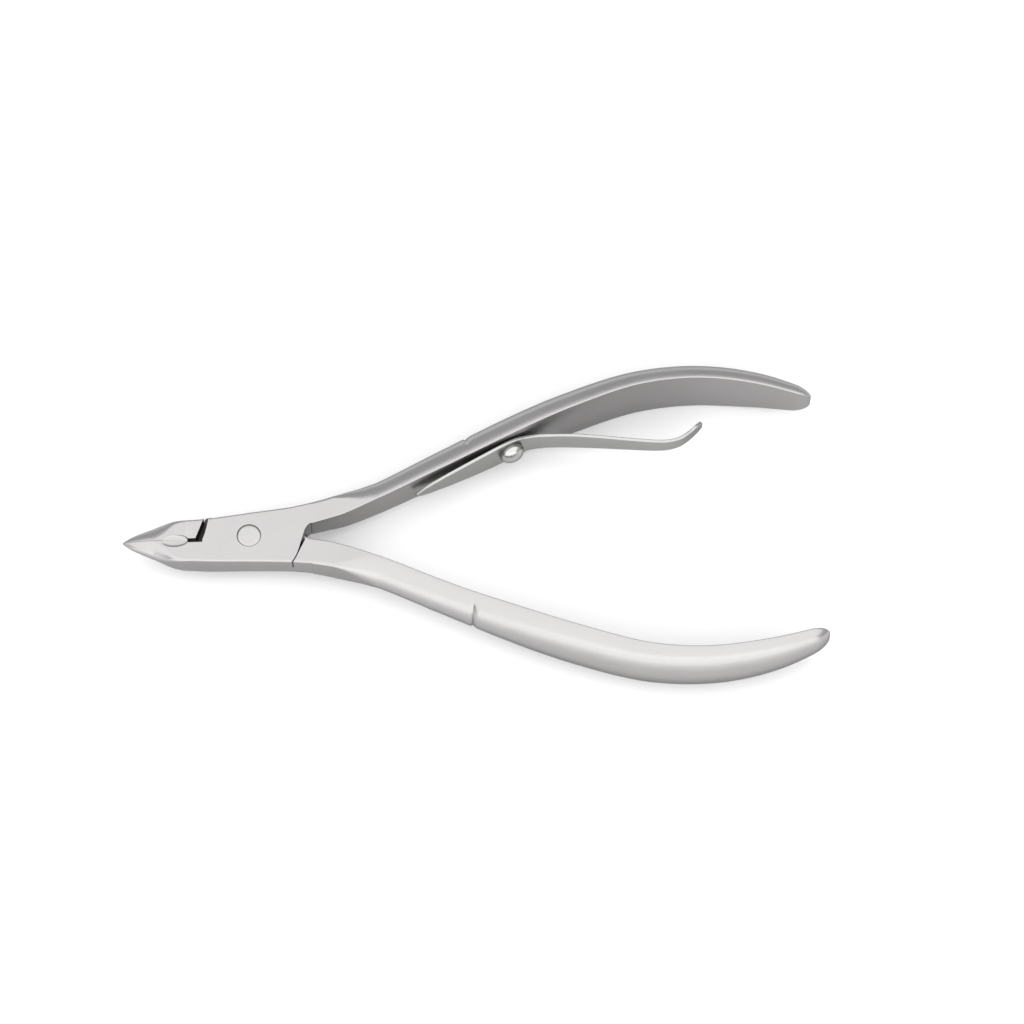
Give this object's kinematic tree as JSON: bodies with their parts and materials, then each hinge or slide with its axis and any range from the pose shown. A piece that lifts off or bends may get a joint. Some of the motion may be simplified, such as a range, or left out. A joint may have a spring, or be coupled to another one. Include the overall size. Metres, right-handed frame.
{
  "type": "cuticle nipper",
  "caption": "Cuticle nipper in satin stainless steel: lap-jointed levers with half jaws, bowed half-oval handles and a single riveted leaf spring.",
  "frame": {"origin": "on the joint rivet's axis, at the joint's back face", "axes": "+X along the nipper from the joint towards the handle ends, +Y to the side of the handle that carries the spring, +Z along the joint rivet out of the joint's front face"},
  "size_m": [0.1038, 0.0504, 0.01],
  "materials": {
    "satin_steel": "satin stainless steel, finely ground flat faces and softly polished rounds",
    "ground_rivet_steel": "stainless steel ground flush with the joint's faces",
    "spring_steel": "polished stainless spring strip with a fine lengthwise grain",
    "polished_rivet_steel": "bright domed stainless rivet head"
  },
  "bodies": {
    "front_lever": {"front_lever": "satin_steel", "joint_rivet": "ground_rivet_steel", "spring_rivet": "polished_rivet_steel"},
    "back_lever": {"back_lever": "satin_steel"},
    "leaf_spring": {"leaf_spring": "spring_steel"}
  },
  "joints": [
    {"name": "nipper_joint", "type": "hinge", "parent": "front_lever", "child": "back_lever", "pos_m": [0, 0, 0], "axis": [0, 0, -1], "range_deg": [0, 25]},
    {"name": "leaf_bend", "type": "hinge", "parent": "front_lever", "child": "leaf_spring", "pos_m": [0.0408, 0.0137, 0], "axis": [0, 0, 1], "range_deg": [0, 9], "stiffness_Nm_per_rad": 0.6, "deforming": ["leaf_spring"]}
  ]
}
